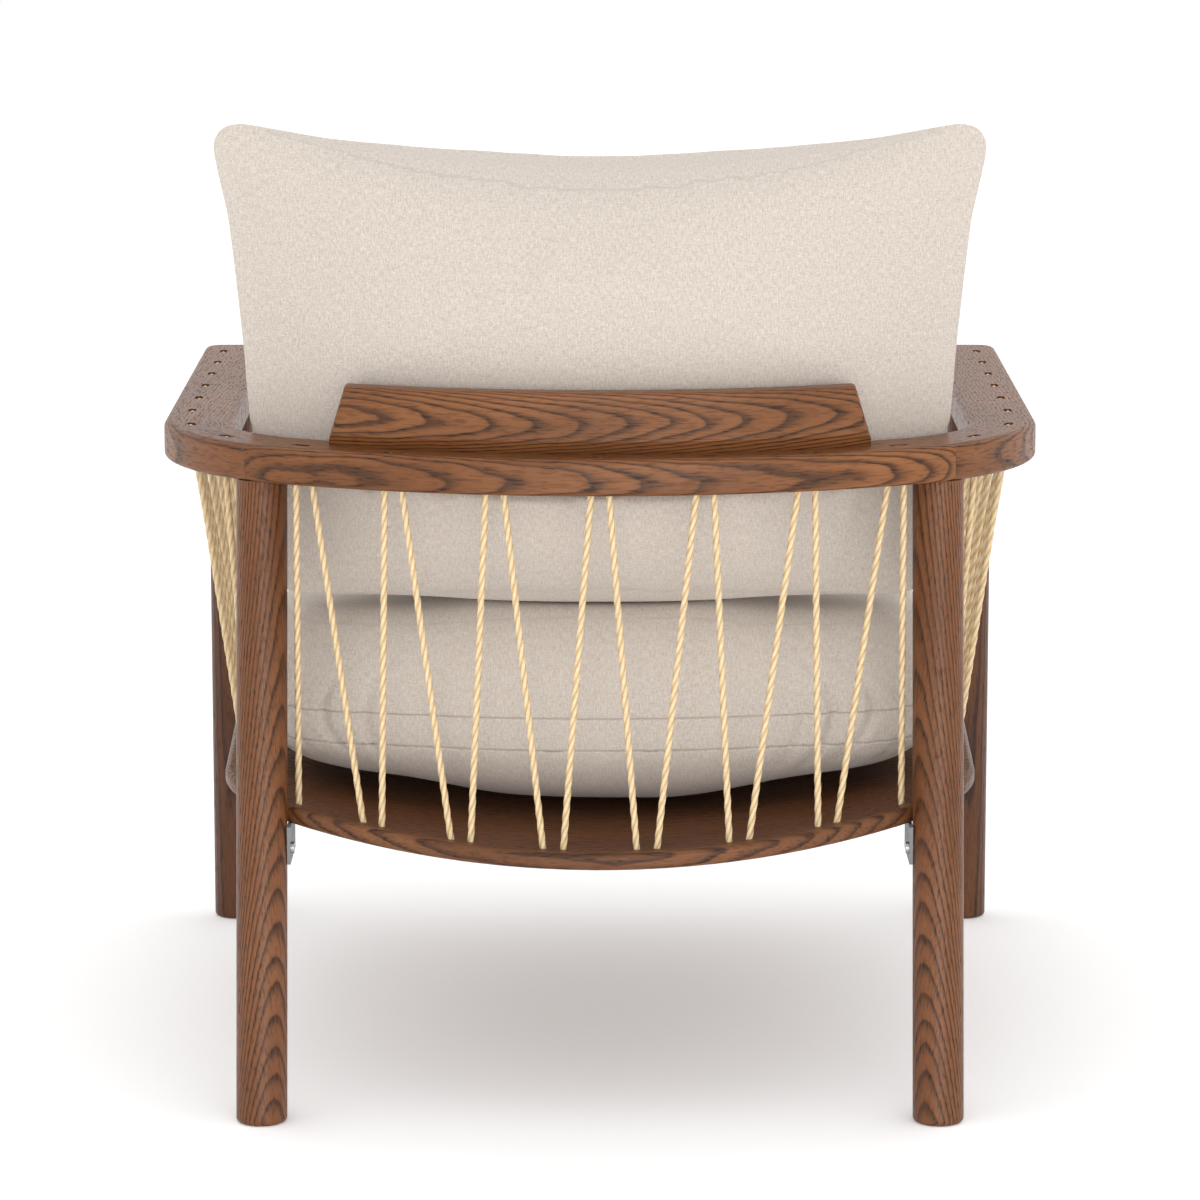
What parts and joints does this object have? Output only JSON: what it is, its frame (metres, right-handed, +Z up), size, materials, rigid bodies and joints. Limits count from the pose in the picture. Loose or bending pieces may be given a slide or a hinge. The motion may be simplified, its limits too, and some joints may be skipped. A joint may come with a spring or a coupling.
{
  "type": "lounge armchair",
  "caption": "Low wooden lounge armchair with a bent wrap-round rail, cord-laced sides and back, a dished seat board and two loose cushions.",
  "frame": {"origin": "centre of the bounding box, on the floor under the chair", "axes": "+Z up, the sitter faces -Y, +X is the sitter's left"},
  "size_m": [0.7852, 0.7995, 0.8418],
  "materials": {
    "stained_oak": "brown-stained open-grain oak, oiled, satin",
    "dowel_beech": "plain beech",
    "bracket_steel": "grey powder coat",
    "zinc_fixings": "zinc plated",
    "insert_brass": "turned",
    "laid_paper_cord": "three-strand laid cord, straw coloured",
    "linen_weave": "cream linen-like plain weave",
    "cushion_filling": "soft foam and fibre filling"
  },
  "bodies": {
    "root": {"rail_back": "stained_oak", "rail_arm_left": "stained_oak", "rail_arm_right": "stained_oak", "crest_board": "stained_oak", "leg_back_left": "stained_oak", "leg_back_right": "stained_oak", "leg_front_left": "stained_oak", "leg_front_right": "stained_oak", "seat_shell": "stained_oak", "rail_dowels": "dowel_beech", "bracket_back_left": "bracket_steel", "bracket_back_right": "bracket_steel", "bracket_front_left": "bracket_steel", "bracket_front_right": "bracket_steel", "bracket_bolts": "zinc_fixings", "shell_screws": "zinc_fixings", "crest_screws": "zinc_fixings", "leg_inserts": "insert_brass", "lacing_cord": "laid_paper_cord", "cord_knots": "laid_paper_cord", "seat_cushion_cover": "linen_weave", "back_cushion_cover": "linen_weave", "seat_cushion_core": "cushion_filling", "back_cushion_core": "cushion_filling"}
  },
  "joints": []
}
